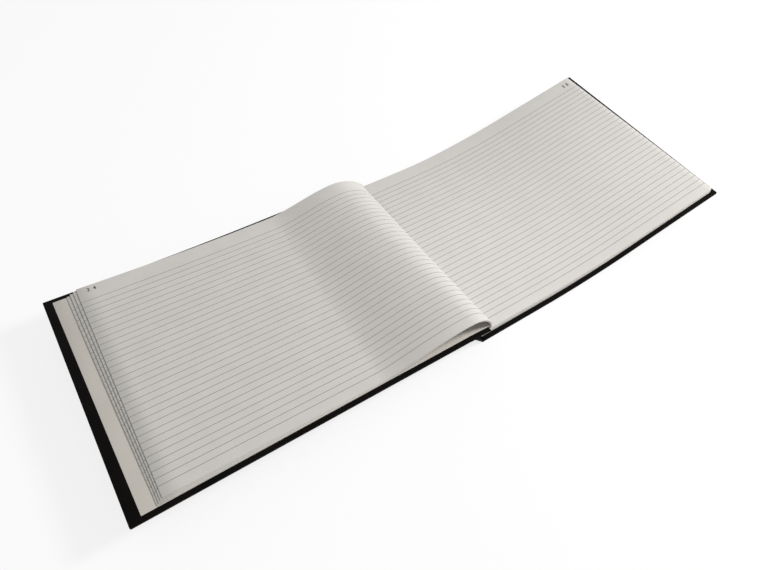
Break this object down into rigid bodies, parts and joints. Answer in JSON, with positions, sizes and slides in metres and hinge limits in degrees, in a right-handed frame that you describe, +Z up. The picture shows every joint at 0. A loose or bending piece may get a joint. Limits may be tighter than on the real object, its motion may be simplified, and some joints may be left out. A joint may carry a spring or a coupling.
{
  "type": "minute book",
  "caption": "Open landscape minute book: black cloth boards on a hinged spine, ruled leaves, arched near the gutter.",
  "frame": {"origin": "middle of the open book's bounding box, on the table", "axes": "+X across the open book from the front cover to the back, +Y from tail to head, +Z up"},
  "size_m": [0.6022, 0.218, 0.0409],
  "materials": {
    "book_cloth": "matte woven book cloth",
    "greyboard": "raw board",
    "endpaper": "plain uncoated paper",
    "ruled_paper": "uncoated paper with fine grey rules"
  },
  "bodies": {
    "text_block": {"right_leaves": "ruled_paper", "spine_lining": "endpaper", "back_flyleaf": "endpaper", "back_pastedown": "endpaper", "back_infill": "greyboard", "back_board": "greyboard", "back_cloth": "book_cloth"},
    "spine": {"spine_cloth": "book_cloth", "spine_inlay": "greyboard"},
    "front_cover": {"front_cloth": "book_cloth", "front_board": "greyboard", "front_infill": "greyboard", "front_pastedown": "endpaper", "front_flyleaf": "endpaper", "left_leaves": "ruled_paper"}
  },
  "joints": [
    {"name": "back_groove", "type": "hinge", "parent": "text_block", "child": "spine", "pos_m": [0.00524, 0, 0.00015], "axis": [0, 1, 0], "range_deg": [-55, 31]},
    {"name": "front_groove", "type": "hinge", "parent": "spine", "child": "front_cover", "pos_m": [-0.0027, 0, 0.01337], "axis": [0, 1, 0], "range_deg": [-10, 139.5], "deforming": ["left_leaves", "front_flyleaf"]}
  ]
}
